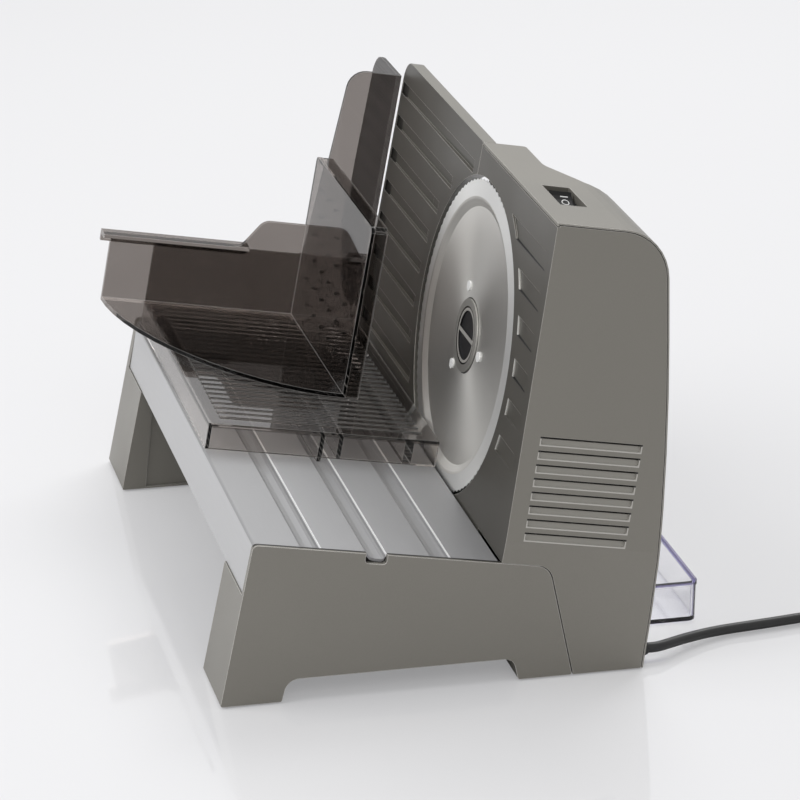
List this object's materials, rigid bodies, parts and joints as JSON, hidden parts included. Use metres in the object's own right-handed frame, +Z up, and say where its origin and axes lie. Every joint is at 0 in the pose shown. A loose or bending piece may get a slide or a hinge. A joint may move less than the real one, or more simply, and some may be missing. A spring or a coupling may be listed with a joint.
{
  "type": "electric food slicer",
  "caption": "Household electric slicer with a serrated round blade, sloping table, sliding food carriage, pusher, stop plate and slice tray.",
  "frame": {"origin": "middle of the slicer's bounding box on the floor, without the mains cord", "axes": "+Z up; +Y along the table, from the end with the vents to the end with the thickness knob; +X from the table's free edge to the motor housing"},
  "size_m": [0.4565, 0.4866, 0.2433],
  "materials": {
    "housing": "satin",
    "supports": "satin",
    "table_metal": "satin",
    "chassis": "satin",
    "steel": "brushed",
    "blade_steel": "polished",
    "black_plastic": "gloss",
    "dark_plastic": "satin",
    "stop_plate": "satin",
    "smoked": "clear smoked",
    "clear": "clear",
    "bronze": "satin",
    "wheel_plastic": "satin",
    "motor_metal": "satin",
    "rubber": "matte",
    "pin_brass": "plated"
  },
  "bodies": {
    "base": {"near_support": "supports", "far_support": "supports", "table_sheet": "table_metal", "chassis": "chassis", "housing_front": "housing", "housing_rear": "housing", "housing_bottom": "dark_plastic", "housing_screws": "steel", "chassis_screws": "steel", "rubber_feet": "rubber", "switch_frame": "black_plastic", "spindle_bush": "bronze", "motor_can": "motor_metal", "motor_end_bells": "motor_metal", "motor_bracket": "chassis", "guide_rods": "steel", "slide_frame": "chassis", "cord_gland": "rubber", "cord_lead": "rubber", "cord_coil": "rubber", "cord_tie": "rubber", "plug_body": "rubber", "plug_pins": "pin_brass"},
    "blade": {"blade": "blade_steel", "blade_hub": "steel", "blade_rivets": "steel", "drive_spindle": "steel", "worm_wheel": "wheel_plastic"},
    "lock": {"hub_lock": "black_plastic"},
    "motor": {"armature": "motor_metal", "worm": "steel", "fan": "dark_plastic"},
    "stop": {"stop_plate": "stop_plate", "stop_carrier": "dark_plastic"},
    "knob": {"adjuster_shaft": "steel", "adjuster_pinion": "wheel_plastic", "thickness_knob": "dark_plastic"},
    "rocker": {"switch_rocker": "black_plastic"},
    "carriage": {"carriage": "smoked"},
    "pusher": {"pusher": "smoked"},
    "tray": {"slice_tray": "clear"}
  },
  "joints": [
    {"name": "carriage_slide", "type": "slide", "parent": "base", "child": "carriage", "axis": [0, 1, 0], "range_m": [-0.12, 0.09]},
    {"name": "pusher_slide", "type": "slide", "parent": "carriage", "child": "pusher", "axis": [0.9863, 0, -0.165], "range_m": [-0.045, 0.028]},
    {"name": "motor_spin", "type": "hinge", "parent": "base", "child": "motor", "pos_m": [0.05195, -0.14075, 0.09657], "axis": [0, 1, 0], "continuous": true},
    {"name": "blade_spin", "type": "hinge", "parent": "base", "child": "blade", "pos_m": [0.02634, -0.06075, 0.14344], "axis": [0.9863, 0, -0.165], "continuous": true},
    {"name": "lock_turn", "type": "hinge", "parent": "blade", "child": "lock", "pos_m": [0.02634, -0.06075, 0.14344], "axis": [0.9863, 0, -0.165], "range_deg": [0, 90]},
    {"name": "stop_slide", "type": "slide", "parent": "base", "child": "stop", "axis": [0.9863, 0, -0.165], "range_m": [0, 0.02]},
    {"name": "knob_turn", "type": "hinge", "parent": "base", "child": "knob", "pos_m": [0.02795, 0.15085, 0.03189], "axis": [0, 1, 0], "range_deg": [0, 229.1]},
    {"name": "switch_rock", "type": "hinge", "parent": "base", "child": "rocker", "pos_m": [0.06048, -0.12675, 0.23232], "axis": [0.9863, 0, -0.165], "range_deg": [-16, 0]},
    {"name": "tray_slide", "type": "slide", "parent": "base", "child": "tray", "axis": [1, 0, 0], "range_m": [0, 0.11]}
  ],
  "couplings": [
    {"joint": "blade_spin", "follows": "motor_spin", "ratio": -0.020833},
    {"joint": "knob_turn", "follows": "stop_slide", "rad_per_m": 200}
  ]
}
